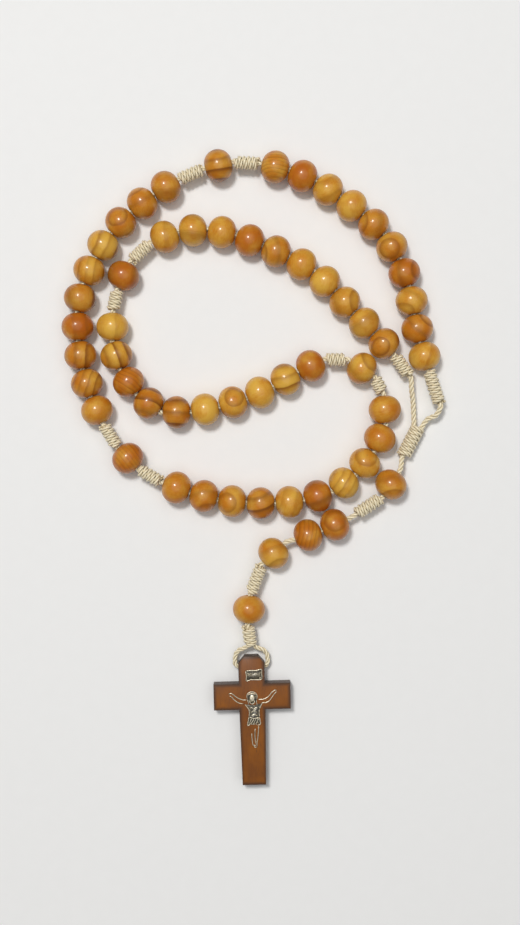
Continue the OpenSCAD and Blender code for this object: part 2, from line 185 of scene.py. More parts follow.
loop_lens = []
for d in range(DECADES):
    loop_lens += [knot_len(LOOP_TURNS[2 * d])] + [BEAD_LEN] * AVES + [knot_len(LOOP_TURNS[2 * d + 1])]
    loop_lens += [BEAD_LEN] if d < DECADES - 1 else []
(CLOSING_KNOT, TOP_CORD, UPPER_PATER, UPPER_KNOT, AVES_CORD, AVE_1, AVE_2, DROP_CORD, AVE_3, MIDDLE_KNOT,
 LOWER_PATER, FOOT_KNOT) = range(12)
pendant_lens = [
    knot_len(CENTRE_KNOT_TURNS), TOP_BARE, BEAD_LEN, knot_len(PENDANT_KNOT_TURNS), UPPER_BARE,
    BEAD_LEN, BEAD_LEN, LOWER_BARE, BEAD_LEN, knot_len(PENDANT_KNOT_TURNS), BEAD_LEN,
    knot_len(FOOT_KNOT_TURNS),
]
loop_leaning = route_gaps(raised(LOOP_ROUTE), loop_lens)
pendant_gaps = route_gaps(PENDANT_ROUTE, pendant_lens)
lay = max(stations(loop_lens, loop_leaning)[-1] / running(smooth(raised(LOOP_ROUTE)))[-1],
          stations(pendant_lens, pendant_gaps)[-1] / running(smooth(PENDANT_ROUTE))[-1],
          (BEAD_D + SIDE_GAP) / STRAND_ROOM,
          (BEAD_R + KNOT_D / 2 + SIDE_GAP) / KNOT_ROOM)


def laid(points):
    """The layout as a whole grows about the origin until the pieces fit on the string."""
    return [(lay * x, lay * y, z) for x, y, z in points]


loop_curve = smooth(laid(raised(LOOP_ROUTE)))
loop_spare = (running(loop_curve)[-1] - stations(loop_lens, loop_leaning)[-1]) / len(loop_lens)
loop_gaps = loop_leaning + loop_spare
loop_ends = at_length(loop_curve, stations(loop_lens, loop_gaps))
pendant_curve = smooth(laid(PENDANT_ROUTE))
pendant_lens[TOP_CORD] += running(pendant_curve)[-1] - stations(pendant_lens, pendant_gaps)[-1]
pendant_ends = at_length(pendant_curve, stations(pendant_lens, pendant_gaps))


def heading(ends, i):
    return unit(ends[i + 1] - ends[i])


def seat(ends, gaps, i):
    """The middle of a piece, centred between its two gaps."""
    return (ends[i] + ends[i + 1]) / 2 + (gaps[i] - gaps[i + 1]) / 4 * heading(ends, i)


def past_start(ends, i, distance):
    return ends[i] + distance * heading(ends, i)


def before_end(ends, i, distance):
    return ends[i + 1] - distance * heading(ends, i)


def into_start(ends, gaps, i):
    """Where the string ends inside a knot: past the gap and gripped by it."""
    return past_start(ends, i, gaps[i] / 2 + GRIP)


def into_end(ends, gaps, i):
    return before_end(ends, i, gaps[i + 1] / 2 + GRIP)


# ---------------------------------------------------------------------------
# Camera
# ---------------------------------------------------------------------------
CAMERA_HEIGHT = 0.325
VIEW_LONG_SIDE = 0.2336
CAMERA_AT = (0.0018, 0.0013)

camera = bpy.data.objects.new("camera", bpy.data.cameras.new("camera"))
camera.location = (*CAMERA_AT, BEAD_R + CAMERA_HEIGHT)
camera.data.lens = camera.data.sensor_width * CAMERA_HEIGHT / VIEW_LONG_SIDE
camera.data.clip_start = 0.01
camera.data.clip_end = 10
bpy.context.collection.objects.link(camera)
bpy.context.scene.camera = camera


# ---------------------------------------------------------------------------
# Material recipes
# ---------------------------------------------------------------------------
class Field:
    """A number that varies over a surface. Sums and products of fields add Math nodes."""

    def __init__(self, recipe, socket):
        self.recipe, self.socket = recipe, socket

    def math(self, operation, *terms, clamp=False):
        settings = {"operation": operation, "use_clamp": clamp}
        return self.recipe.node("ShaderNodeMath", settings, dict(enumerate(terms)))

    def __add__(self, other):
        return self.math("ADD", self, other)

    def __sub__(self, other):
        return self.math("SUBTRACT", self, other)

    def __rsub__(self, other):
        return self.math("SUBTRACT", other, self)

    def __mul__(self, other):
        return self.math("MULTIPLY", self, other)

    def __truediv__(self, other):
        return self.math("DIVIDE", self, other)

    def __pow__(self, other):
        return self.math("POWER", self, other)

    __radd__ = __add__
    __rmul__ = __mul__

    def sqrt(self):
        return self.math("SQRT", self)

    def floor(self):
        return self.math("FLOOR", self)

    def abs(self):
        return self.math("ABSOLUTE", self)

    def least(self, other):
        return self.math("MINIMUM", self, other)

    def most(self, other):
        return self.math("MAXIMUM", self, other)

    def held(self):
        """The field held between 0 and 1."""
        return self.math("ADD", self, 0, clamp=True)

    def ramp(self, *stops):
        """The field run through a ramp of (place, level) stops."""
        shades = [(place, (level, level, level)) for place, level in stops]
        return self.recipe.node("ShaderNodeValToRGB", {"stops": shades}, {0: self})


class Recipe:
    """A material with one Principled surface, built node by node."""

    def __init__(self, name):
        self.material = bpy.data.materials.new(name)
        self.material.use_nodes = True
        self.tree = self.material.node_tree
        self.tree.nodes.clear()

    def node(self, kind, settings=None, values=None, output=0):
        """Adds a node: its settings first, then its socket values or links. Returns one output."""
        made = self.tree.nodes.new(kind)
        for key, value in (settings or {}).items():
            if key == "stops":
                ramp = made.color_ramp
                while len(ramp.elements) < len(value):
                    ramp.elements.new(1)
                for stop, (place, shade) in zip(ramp.elements, value):
                    stop.position = place
                    stop.color = (*shade, 1)
            else:
                setattr(made, key, value)
        for key, value in (values or {}).items():
            if isinstance(value, Field):
                self.tree.links.new(value.socket, made.inputs[key])
            elif isinstance(value, tuple) and made.inputs[key].type == "RGBA":
                made.inputs[key].default_value = (*value, 1)
            else:
                made.inputs[key].default_value = value
        return Field(self, made.outputs[output]) if len(made.outputs) else None

    def attribute(self, name, output="Vector"):
        return self.node("ShaderNodeAttribute", {"attribute_name": name}, output=output)

    def split(self, vector):
        made = self.node("ShaderNodeSeparateXYZ", None, {0: vector}).socket.node
        return [Field(self, socket) for socket in made.outputs]

    def join(self, x, y, z):
        return self.node("ShaderNodeCombineXYZ", None, {0: x, 1: y, 2: z})

    def noise(self, where, scale, detail=2, roughness=0.5):
        values = {"Vector": where, "Scale": scale, "Detail": detail, "Roughness": roughness}
        return self.node("ShaderNodeTexNoise", None, values)

    def mix(self, share, one, other):
        """Colour one turned into the other by a share."""
        return self.node("ShaderNodeMix", {"data_type": "RGBA"}, {0: share, 6: one, 7: other}, output=2)

    def bump(self, height, distance):
        return self.node("ShaderNodeBump", None, {"Height": height, "Distance": distance, "Strength": 1})

    def surface(self, **values):
        values = {key.replace("_", " "): value for key, value in values.items()}
        shader = self.node("ShaderNodeBsdfPrincipled", None, values)
        self.node("ShaderNodeOutputMaterial", None, {"Surface": shader})
        return self.material


def bead_wood():
    """Varnished wood. The grain attribute is a place in the tree in millimetres, with the trunk along z.
    The tone attribute holds depth of colour, redness and how dark the rings are. The ring_gap attribute is
    the spacing of the rings."""
    wood = Recipe("bead_wood")
    grain = wood.attribute("grain")
    depth, red, contrast = wood.split(wood.attribute("tone"))
    x, y, z = wood.split(grain)
    wander = wood.noise(grain, 0.16, 2) - 0.5
    radius = ((x * x + y * y).sqrt() + wander * 1.3) / wood.attribute("ring_gap", "Fac")
    ring = radius.floor()
    own = wood.node("ShaderNodeTexWhiteNoise", {"noise_dimensions": "1D"}, {"W": ring})
    rise = (radius - ring).ramp(
        (0, 0.5), (0.1, 0.06), (0.3, 0), (0.62, 0.3), (0.87, 0.95), (0.94, 1), (1, 0.6))
    late = rise * (own * 0.5 + 0.6)
    fibre = wood.noise(wood.join(x * 4, y * 4, z * 0.5), 1, 3) - 0.5
    pores = wood.noise(wood.join(x * 11, y * 11, z * 1.1), 1, 2).ramp((0, 1), (0.3, 0.7), (0.38, 0))
    cloud = wood.noise(grain, 0.26, 2) - 0.5
    own_tone = (own - 0.5) * contrast * 0.5
    pale, deep = (0.75, 0.43, 0.062), (0.6, 0.225, 0.012)
    early = wood.mix((depth + own_tone + cloud * 2.3 + fibre * 1.1).held(), pale, deep)
    early = wood.mix((red * (cloud * 2 + 1)).held(), early, (0.46, 0.115, 0.006))
    dark = wood.mix(depth.held(), (0.36, 0.14, 0.012), (0.19, 0.05, 0.005))
    colour = wood.mix((late * contrast + pores * 0.3).held(), early, dark)
    relief = wood.bump(fibre * 0.6 - late * 0.4 - pores * 0.5, 0.00004)
    return wood.surface(
        Base_Color=colour, Roughness=fibre * 0.1 + 0.4, Specular_IOR_Level=0.2,
        Coat_Weight=0.5, Coat_Roughness=0.15, Normal=relief,
    )


def twisted_nylon():
    """Ivory nylon yarn. The yarn attribute runs around a ply (x, y) and along it (z, in millimetres);
    the crevice attribute is 0 at the outside of the cord and 1 where the plies meet, and lays painted shade
    there."""
    nylon = Recipe("twisted_nylon")
    yarn = nylon.attribute("yarn")
    crevice = nylon.attribute("crevice", "Fac")
    x, y, z = nylon.split(yarn)
    thread = nylon.noise(nylon.join(x * 6, y * 6, z * 0.45), 1, 3, 0.6) - 0.5
    cloud = nylon.noise(yarn, 0.25, 1) - 0.5
    # The yarn's own colour, before the painted shade is laid on it
    unshaded_yarn = nylon.mix((cloud * 0.8 + 0.5).held(), (0.95, 0.86, 0.64), (0.91, 0.8, 0.55))
    # Painted shade: the yarn darkens towards (0.4, 0.29, 0.12) in the crevices where the plies meet, as if in
    # their shadow; the thread noise adds real streaks to the same darkening
    shade = (crevice ** 1.5 * 1.05 + thread * 0.6).held()
    colour = nylon.mix(shade, unshaded_yarn, (0.4, 0.29, 0.12))
    return nylon.surface(
        Base_Color=colour, Roughness=thread * 0.2 + 0.36, Sheen_Weight=0.1,
        Normal=nylon.bump(thread, 0.00006),
    )


def cross_wood():
    """Stained wood with darker, worn edges, in the cross's own frame."""
    wood = Recipe("cross_wood")
    place = wood.node("ShaderNodeTexCoord", output="Object")
    x, y, z = wood.split(place)
    x, y, z = x / MM, y / MM, z / MM
    grain = wood.noise(wood.join(x * 2.2, y * 0.16, z * 2.2), 1, 4, 0.6) - 0.5
    pores = wood.noise(wood.join(x * 9, y * 0.7, z * 9), 1, 2)
    cloud = wood.noise(wood.join(x, y, z), 0.16, 2) - 0.5
    post = (x.abs() - POST_W / MM / 2).most(
        (y - (CROSS_HOLE_DROP - CROSS_H / 2) / MM).abs() - CROSS_H / MM / 2)
    arms = (x.abs() - CROSS_W / MM / 2).most(
        (y - (CROSS_HOLE_DROP - HEAD_H - ARM_H / 2) / MM).abs() - ARM_H / MM / 2)
    inside = post.least(arms) * -1
    edge = (inside + grain * 0.35).ramp((0, 1), (0.35, 0.75), (0.8, 0.15), (1, 0))
    side = (CROSS_T / MM - z).ramp((0, 0), (0.15, 0.3), (0.5, 0.9), (1, 1))
    worn = edge.most(side)
    face = wood.mix((cloud * 1.6 + grain * 0.9 + 0.5).held(), (0.21, 0.066, 0.008), (0.13, 0.038, 0.005))
    warm = ((cloud + 0.12) * 2.2).held()
    face = wood.mix(warm, face, (0.3, 0.095, 0.006))
    face = wood.mix((pores.ramp((0, 1), (0.33, 0.8), (0.4, 0)) * 0.5).held(), face, (0.07, 0.03, 0.015))
    colour = wood.mix((worn * 0.88).held(), face, (0.045, 0.024, 0.015))
    return wood.surface(
        Base_Color=colour, Roughness=pores * 0.15 + 0.42, Specular_IOR_Level=0.2,
        Coat_Weight=0.12, Coat_Roughness=0.25,
        Normal=wood.bump(grain + pores * 0.4, 0.00005),
    )


def stamped_foil(name, shade):
    """Thin silver-gold foil with a little tarnish."""
    foil = Recipe(name)
    place = foil.node("ShaderNodeTexCoord", output="Object")
    tarnish = foil.noise(place, 900, 3)
    colour = foil.mix(tarnish.ramp((0.3, 0), (0.75, 1)), shade, tuple(level * 0.55 for level in shade))
    return foil.surface(
        Base_Color=colour, Metallic=0.9, Roughness=tarnish * 0.25 + 0.25, Normal=foil.bump(tarnish, 0.00002),
    )


BEAD_WOOD = bead_wood()
NYLON = twisted_nylon()
CROSS_WOOD = cross_wood()
BRIGHT_FOIL = stamped_foil("bright_foil", (0.86, 0.78, 0.6))
GREY_FOIL = stamped_foil("grey_foil", (0.36, 0.34, 0.29))


# ---------------------------------------------------------------------------
# Pieces
# ---------------------------------------------------------------------------
def add_piece(name, vertices, faces, material, attributes=None, matrix=Matrix.Identity(4),
              smooth_faces=True):
    """A mesh object with its material slot, and with attributes that its material reads."""
    mesh = bpy.data.meshes.new(name)
    mesh.from_pydata([tuple(v) for v in vertices], [], faces)
    for key, values in (attributes or {}).items():
        values = np.array(values, np.float32)
        kind, item = ("FLOAT_VECTOR", "vector") if values.ndim == 2 else ("FLOAT", "value")
        mesh.attributes.new(key, kind, "POINT").data.foreach_set(item, values.ravel())
    if smooth_faces:
        mesh.shade_smooth()
    mesh.materials.append(material)
    piece = bpy.data.objects.new(name, mesh)
    piece.matrix_world = matrix
    bpy.context.collection.objects.link(piece)
    return piece


def facing(point, direction):
    """The frame at a point whose z axis runs along a direction."""
    turn = Vector(direction).to_track_quat("Z", "Y").to_matrix().to_4x4()
    return Matrix.Translation(Vector(point)) @ turn


def ring_faces(rings, sides, first=0):
    """Quads between rings of vertices, and a cap at both ends."""
    faces = []
    for i in range(rings - 1):
        for k in range(sides):
            a, b = first + i * sides + k, first + i * sides + (k + 1) % sides
            faces.append((a, b, b + sides, a + sides))
    faces.append(tuple(first + k for k in reversed(range(sides))))
    faces.append(tuple(first + (rings - 1) * sides + k for k in range(sides)))
    return faces


def slab(outline, low, high):
    """A flat piece with an outline in x and y, between two heights."""
    count = len(outline)
    vertices = [(x, y, low) for x, y in outline] + [(x, y, high) for x, y in outline]
    faces = [tuple(reversed(range(count))), tuple(range(count, 2 * count))]
    faces += [(k, (k + 1) % count, (k + 1) % count + count, k + count) for k in range(count)]
    return vertices, faces


# Beads --------------------------------------------------------------------
# How deep, how red and how strongly ringed a piece of wood is
TONES = {
    "pale": (0.1, 0.0), "honey": (0.35, 0.1), "tan": (0.5, 0.1), "amber": (0.7, 0.3), "red": (0.75, 0.65),
    "brown": (0.95, 0.55),
}
# How a bead is cut from the trunk: distance from the pith and tilt of the trunk away from upright, both
# with the ring spacing and how dark the rings are
CUTS = {
    "plain": (0.030, 80, 0.0050, 0.1),
    "soft": (0.012, 70, 0.0035, 0.3),
    "line": (0.0305, 88, 0.0060, 0.85),
    "lines": (0.022, 86, 0.0019, 0.6),
    "fine": (0.020, 84, 0.0010, 0.4),
    "bold": (0.012, 80, 0.0027, 1.0),
    "eye": (0.0006, 14, 0.0026, 0.6),
    "arc": (0.0036, 18, 0.0031, 0.65),
}
BEAD_SIDES = 56
BEAD_RINGS = 26
MOUTH_ROUND = 0.00018
# How much a bead is out of round, as a share, and how far its wood strays from its look
WORN = 0.006
TILT_STRAY, TURN_STRAY, TONE_STRAY = 8, 12, 0.08
# Above this tilt, in radians, the trunk runs the way the lines run, and below it the trunk leans that way
LYING = 1


def bead_profile():
    """(distance from the axis, height) from one mouth of the hole round to the other and back inside."""
    hole = HOLE_D / 2
    widest = math.acos((hole + MOUTH_ROUND - ROUND_OFF) / (BEAD_LEN / 2))
    points = []
    for i in range(BEAD_RINGS):
        angle = -widest + 2 * widest * i / (BEAD_RINGS - 1)
        points.append((ROUND_OFF + BEAD_LEN / 2 * math.cos(angle), BEAD_LEN / 2 * math.sin(angle)))
    top = points[-1][1]
    points += [(hole + 0.3 * MOUTH_ROUND, top - 0.25 * MOUTH_ROUND), (hole, top - MOUTH_ROUND)]
    points += [(hole, 0), (hole, MOUTH_ROUND - top), (hole + 0.3 * MOUTH_ROUND, 0.25 * MOUTH_ROUND - top)]
    return points


def bead_shape():
    """Vertices and faces of a drilled bead that is slightly out of round, its hole along z."""
    profile = bead_profile()
    count = len(profile)
    wobble = [random.uniform(0, 2 * math.pi) for _ in range(2)]
    vertices = []
    for k in range(BEAD_SIDES):
        angle = 2 * math.pi * k / BEAD_SIDES
        for out, height in profile:
            worn = WORN * (1 + math.sin(2 * angle + wobble[0]) * math.cos(300 * height + wobble[1]))
            share = 1 - worn * (out > HOLE_D / 2 + MOUTH_ROUND)
            vertices.append((out * share * math.cos(angle), out * share * math.sin(angle), height))
    faces = [
        (k * count + j, (k + 1) % BEAD_SIDES * count + j, (k + 1) % BEAD_SIDES * count + (j + 1) % count,
         k * count + (j + 1) % count)
        for k in range(BEAD_SIDES) for j in range(count)
    ]
    return vertices, faces


def places_in_tree(spots, cut, turn):
    """Where points of a bead, measured from its middle, lie in the trunk it is cut from, in millimetres."""
    pith, tilt, _, _ = CUTS[cut]
    tilt = math.radians(tilt + random.uniform(-TILT_STRAY, TILT_STRAY))
    aim = math.radians(turn + random.uniform(-TURN_STRAY, TURN_STRAY))
    toward = Vector((math.cos(aim), math.sin(aim), 0))
    up = Vector((0, 0, 1))
    if tilt > LYING:
        trunk = toward * math.sin(tilt) + up * math.cos(tilt)
        away = trunk.cross(up).normalized()
        away = away if cut != "plain" else trunk.cross(away).normalized()
    else:
        trunk = (up + toward * math.tan(tilt)).normalized()
        away = toward
    pith *= random.uniform(0.85, 1.2)
    upright = trunk.to_track_quat("Z", "Y").to_matrix().transposed()
    slide = Vector((0, 0, random.uniform(-40, 40)))
    return [upright @ ((spot - away * pith) / MM) + slide for spot in spots]


def bead(name, point, direction, look, body, node):
    """A turned wooden bead with a drilled hole, cut from the trunk as its look says."""
    tone, cut, turn = look
    vertices, faces = bead_shape()
    place = facing(point, direction)
    spin = place.to_3x3()
    grain = places_in_tree([spin @ Vector(v) for v in vertices], cut, turn)
    depth, red = TONES[tone]
    _, _, spacing, contrast = CUTS[cut]
    shade = (depth + random.uniform(-TONE_STRAY, TONE_STRAY),
             max(red + random.uniform(-TONE_STRAY, TONE_STRAY), 0), contrast * random.uniform(0.85, 1.15))
    gap = spacing / MM * random.uniform(0.9, 1.1)
    piece = add_piece(name, [place @ Vector(v) for v in vertices], faces, BEAD_WOOD,
                      {"grain": grain, "tone": [shade] * len(vertices), "ring_gap": [gap] * len(vertices)})
    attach(piece, body)
    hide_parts(node)
    return piece


# Cords --------------------------------------------------------------------
# Sides of a ply, and the length in which a cord twists once round
PLY_SIDES = 7
CORD_LAY = 0.0042
# Steps along a bare cord, along the wrapped strand of a knot and along the cord inside the knot
CORD_STEP, WRAP_STEP, CORE_STEP = 0.0003, 0.00028, 0.0004
CORE_R = 0.0008
# The plies press a little into each other
PLY_SWELL = 1.04


def even_steps(points, step):
    """The same curve with its points at even steps."""
    points = np.array(points, float)
    length = running(points)[-1]
    return at_length(points, np.linspace(0, length, max(2, round(length / step) + 1)))


def headings_along(points):
    headings = np.gradient(points, axis=0)
    return headings / np.linalg.norm(headings, axis=1)[:, None]


def side_frames(points):
    """Headings along a curve, and a side direction at each point that never twists around it."""
    headings = headings_along(points)
    first = np.cross(headings[0], (0, 0, 1) if abs(headings[0][2]) < 0.9 else (1, 0, 0))
    sides = [unit(first)]
    for along in headings[1:]:
        sides.append(unit(sides[-1] - (sides[-1] @ along) * along))
    return headings, np.array(sides)


def twist(points, cord_r, start=0.0, plies=3):
    """Vertices, faces and attributes of a cord of twisted plies that follows a curve."""
    headings, sides = side_frames(points)
    across = np.cross(headings, sides)
    along = running(points)
    ply_r = cord_r / (1 + 1 / math.sin(math.pi / plies))
    ply_out = cord_r - ply_r
    vertices, faces, yarn, crevice = [], [], [], []
    for ply in range(plies):
        angle = 2 * math.pi * (along / CORD_LAY + ply / plies) + start
        out = np.cos(angle)[:, None] * sides + np.sin(angle)[:, None] * across
        centre = points + ply_out * out
        run, _ = side_frames(centre)
        out = out - (out * run).sum(1)[:, None] * run
        out /= np.linalg.norm(out, axis=1)[:, None]
        round_it = np.cross(run, out)
        first = len(vertices)
        for i in range(len(points)):
            for k in range(PLY_SIDES):
                a = 2 * math.pi * k / PLY_SIDES
                swell = math.cos(a) * out[i] + math.sin(a) * round_it[i]
                vertices.append(centre[i] + PLY_SWELL * ply_r * swell)
                yarn.append((math.cos(a) + 7 * ply, math.sin(a), along[i] / MM + 31 * ply))
                # How deep in a crevice between the plies a point lies, which the nylon paints as shade
                crevice.append((1 - math.cos(a)) / 2)
        faces += ring_faces(len(points), PLY_SIDES, first=first)
    return vertices, faces, yarn, crevice


def cord_piece(name, points, node, body=None, cord_r=CORD_R, start=None):
    """A bare cord of three plies through the points. It rides on its body, if one is named."""
    path = even_steps(smooth(points), CORD_STEP)
    start = random.uniform(0, 2 * math.pi) if start is None else start
    vertices, faces, yarn, crevice = twist(path, cord_r, start)
    piece = add_piece(name, vertices, faces, NYLON, {"yarn": yarn, "crevice": crevice})
    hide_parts(node)
    if body:
        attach(piece, body)
    return piece, path


def jointed_cord(name, points, node, start, end, twist_start=None):
    """A cord through the points that runs from one body to the next, baked in place and put on neither body.
    The start and end points are not used.
    """
    piece, _ = cord_piece(name, points, node, start=twist_start)
    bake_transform(piece)


def wrapped_knot(name, point, direction, turns, knot_d, body, node):
    """Cord wrapped side by side around itself into a barrel with round ends."""
    strand_r = WRAP_PITCH / 2
    length = knot_len(turns)
    reach = length / 2 - strand_r
    wraps = turns - 1
    steps = int(wraps * 2 * math.pi * (knot_d / 2 - strand_r) / WRAP_STEP)
    share = np.linspace(-1, 1, steps)
    height = share * reach
    angle = share * math.pi * wraps + random.uniform(0, 2 * math.pi)
    round_end = 0.35 * knot_d
    end = np.clip((np.abs(height) - length / 2 + round_end) / round_end, 0, 1)
    out = knot_d / 2 * np.sqrt(1 - 0.4 * end ** 3) - strand_r * 1.02
    path = np.stack([out * np.cos(angle), out * np.sin(angle), height], axis=1)
    vertices, faces, yarn, crevice = twist(path, strand_r * 1.05, random.uniform(0, 6))
    core = even_steps([(0, 0, -reach), (0, 0, reach)], CORE_STEP)
    more, more_faces, more_yarn, more_crevice_shade = twist(core, CORE_R)
    shift = len(vertices)
    place = facing(point, direction)
    vertices = [place @ Vector(v) for v in vertices + more]
    faces = faces + [tuple(i + shift for i in face) for face in more_faces]
    # The cord inside the knot gets painted shade all over, as it lies in the shadow of the wraps
    piece = add_piece(name, vertices, faces, NYLON,
                      {"yarn": yarn + more_yarn, "crevice": crevice + [0.6] * len(more_crevice_shade)})
    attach(piece, body)
    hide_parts(node)
    return piece


# ---------------------------------------------------------------------------
# The loop
# ---------------------------------------------------------------------------
PER_DECADE = AVES + 3
# Where the cord bends when a decade turns up: how far inside the knot and the Pater, and along a bare cord
KNOT_BEND = 0.0006
BEAD_BEND = 0.0003
BEND_ROOM = 0.0014
# The wood of each bead in the order of the string: tone, cut, and the way its lines run, in degrees
AVE_LOOKS = [
    [("honey", "soft", 80), ("amber", "arc", 40), ("honey", "arc", 250), ("brown", "arc", 10),
     ("amber", "eye", 230), ("amber", "arc", 180), ("tan", "plain", 100), ("honey", "soft", 30),
     ("red", "plain", 60), ("amber", "fine", 170)],
    [("amber", "line", 0), ("amber", "arc", 130), ("amber", "eye", 120), ("pale", "bold", 75),
     ("honey", "lines", 85), ("amber", "line", 90), ("red", "soft", 90), ("amber", "bold", 85),
     ("amber", "lines", 70), ("amber", "plain", 60)],
    [("amber", "plain", 10), ("amber", "arc", 270), ("amber", "eye", 200), ("amber", "bold", 10),
     ("honey", "soft", 60), ("red", "line", 20), ("pale", "lines", 65), ("honey", "eye", 90),
     ("amber", "plain", 70), ("amber", "plain", 20)],
    [("red", "plain", 30), ("pale", "bold", 20), ("pale", "plain", 30), ("tan", "eye", 80),
     ("pale", "plain", 80), ("amber", "bold", 0), ("amber", "bold", 165), ("brown", "fine", 140),
     ("honey", "bold", 100), ("pale", "soft", 80)],
    [("honey", "soft", 90), ("tan", "line", 0), ("tan", "plain", 60), ("red", "plain", 90),
     ("amber", "arc", 180), ("tan", "plain", 100), ("honey", "plain", 70), ("honey", "arc", 0),
     ("honey", "line", 40), ("amber", "eye", 230)],
]
PATER_LOOKS = [("amber", "bold", 0), ("brown", "fine", 130), ("tan", "arc", 45), ("red", "line", 80)]

for d in range(DECADES):
    first = d * PER_DECADE
    last = first + AVES + 1
    body = f"decade_{d + 1}"
    for k in range(1, AVES + 1):
        i = first + k
        bead(f"ave_bead_{d + 1}_{k:02d}", seat(loop_ends, loop_gaps, i), heading(loop_ends, i),
                          AVE_LOOKS[d][k - 1], body, f"decade_{d + 1}_beads")
    for i, which, turns in ((first, "first", LOOP_TURNS[2 * d]), (last, "last", LOOP_TURNS[2 * d + 1])):
        wrapped_knot(f"{which}_wrapped_knot_{d + 1}", seat(loop_ends, loop_gaps, i),
                                  heading(loop_ends, i), turns, KNOT_D, body, f"decade_{d + 1}_{which}_knot")
    points = [into_end(loop_ends, loop_gaps, first), *loop_ends[first + 1:last + 1],
              into_start(loop_ends, loop_gaps, last)]
    cord, path = cord_piece(f"decade_string_{d + 1}", points, f"decade_{d + 1}_cord", body)
    if d < DECADES - 1:
        i = last + 1
        bead(f"pater_bead_{d + 1}", seat(loop_ends, loop_gaps, i), heading(loop_ends, i), PATER_LOOKS[d],
             f"pater_{d + 1}", f"pater_{d + 1}")
        twist_start = random.uniform(0, 2 * math.pi)
        middle = (loop_ends[i] + loop_ends[i + 1]) / 2
        for which, tip, mouth, bend_start, bend_end, knot_body in (
            ("first", into_end(loop_ends, loop_gaps, last), loop_ends[i],
             before_end(loop_ends, last, KNOT_BEND), past_start(loop_ends, i, BEAD_BEND), body),
            ("last", into_start(loop_ends, loop_gaps, i + 1), loop_ends[i + 1],
             past_start(loop_ends, i + 1, KNOT_BEND), before_end(loop_ends, i, BEAD_BEND), f"decade_{d + 2}"),
        ):
            jointed_cord(f"{which}_pater_string_{d + 1}", [tip, mouth, middle], f"pater_{d + 1}_cord",
                         bend_start, bend_end, twist_start)

# ---------------------------------------------------------------------------
# The closing knot and the pendant
# ---------------------------------------------------------------------------
across = unit(np.cross(heading(pendant_ends, CLOSING_KNOT), (0, 0, 1)))
for side, start, inward, route, name, body in (
    (1, loop_ends[-1], -heading(loop_ends, len(loop_lens) - 1), LEFT_TAIL_ROUTE, "left_tail", "decade_5"),
    (-1, loop_ends[0], heading(loop_ends, 0), RIGHT_TAIL_ROUTE, "right_tail", "decade_1"),
):
    entry = past_start(pendant_ends, CLOSING_KNOT, TAIL_ENTRY) + side * TAIL_SPREAD * across
    points = [start + GRIP * inward, start - TAIL_SETBACK * inward, *laid(route), entry]
    jointed_cord(f"{name}_string", points, f"{name}_cord", start,
                 start - BEND_ROOM * inward)


for name, i, turns, knot_d, body, node in (
    ("closing_wrapped_knot", CLOSING_KNOT, CENTRE_KNOT_TURNS, CENTRE_KNOT_D, "closing_knot", "centre_knot"),
    ("upper_wrapped_knot", UPPER_KNOT, PENDANT_KNOT_TURNS, KNOT_D, "pendant", "pendant_upper_knot"),
    ("middle_wrapped_knot", MIDDLE_KNOT, PENDANT_KNOT_TURNS, KNOT_D, "drop", "pendant_middle_knot"),
    ("foot_wrapped_knot", FOOT_KNOT, FOOT_KNOT_TURNS, KNOT_D, "drop", "foot_knot"),
):
    wrapped_knot(name, seat(pendant_ends, pendant_gaps, i), heading(pendant_ends, i), turns, knot_d, body,
                 node)

for i, body, look in (
    (UPPER_PATER, "upper_pater", ("amber", "arc", 270)),
    (AVE_1, "ave_1", ("red", "eye", 100)),
    (AVE_2, "ave_2", ("brown", "fine", 80)),
    (AVE_3, "ave_3", ("honey", "arc", 300)),
    (LOWER_PATER, "lower_pater", ("amber", "plain", 60)),
):
    bead(f"pendant_bead_{body}", seat(pendant_ends, pendant_gaps, i), heading(pendant_ends, i), look, body,
         f"pendant_{body}")

# Each cord of the pendant runs from one body to the next, baked in place
top_pivot = past_start(pendant_ends, TOP_CORD, CORD_R + TURN_GAP)
upper_pivot = past_start(pendant_ends, AVES_CORD, CORD_R + TURN_GAP)
lower_pivot = (pendant_ends[DROP_CORD] + pendant_ends[AVE_3]) / 2
ave_2_middle = (pendant_ends[AVE_2] + pendant_ends[AVE_2 + 1]) / 2
for name, points, bodies, pivot, station, before, after in (
    ("pendant", [before_end(pendant_ends, CLOSING_KNOT, 2 * GRIP), *pendant_ends[TOP_CORD:UPPER_KNOT + 1],
                 into_start(pendant_ends, pendant_gaps, UPPER_KNOT)],
     ("closing_knot", "pendant"), top_pivot, TOP_CORD, 0.0006, 0.0009),
    ("aves", [into_end(pendant_ends, pendant_gaps, UPPER_KNOT), *pendant_ends[AVES_CORD:AVE_2 + 1],
              ave_2_middle],
     ("pendant", "aves"), upper_pivot, AVES_CORD, 0.0006, 0.0006),
    ("drop", [ave_2_middle, *pendant_ends[DROP_CORD:MIDDLE_KNOT + 1],
              into_start(pendant_ends, pendant_gaps, MIDDLE_KNOT)],
     ("aves", "drop"), lower_pivot, DROP_CORD, 0.001, 0.001),
):
    along = heading(pendant_ends, station)
    jointed_cord(f"{name}_string", points, f"{name}_cord", pivot - along * before,
                 pivot + along * after)
cord_piece("lower_pater_string", [into_end(pendant_ends, pendant_gaps, MIDDLE_KNOT),
                                  *pendant_ends[LOWER_PATER:FOOT_KNOT + 1],
                                  into_start(pendant_ends, pendant_gaps, FOOT_KNOT)], "drop_cord", "drop")

# ---------------------------------------------------------------------------
# The cross on its loop of cord
# ---------------------------------------------------------------------------
hang_tip = pendant_ends[-1]
cross_frame = (Matrix.Translation((hang_tip[0], hang_tip[1], 0))
               @ Matrix.Rotation(math.radians(CROSS_TURN), 4, "Z")
               @ Matrix.Translation((0, -LOOP_RISE, 0)))
HOLE_Z = CROSS_T / 2
LEG_X = POST_W / 2 + CORD_R + LEG_GAP
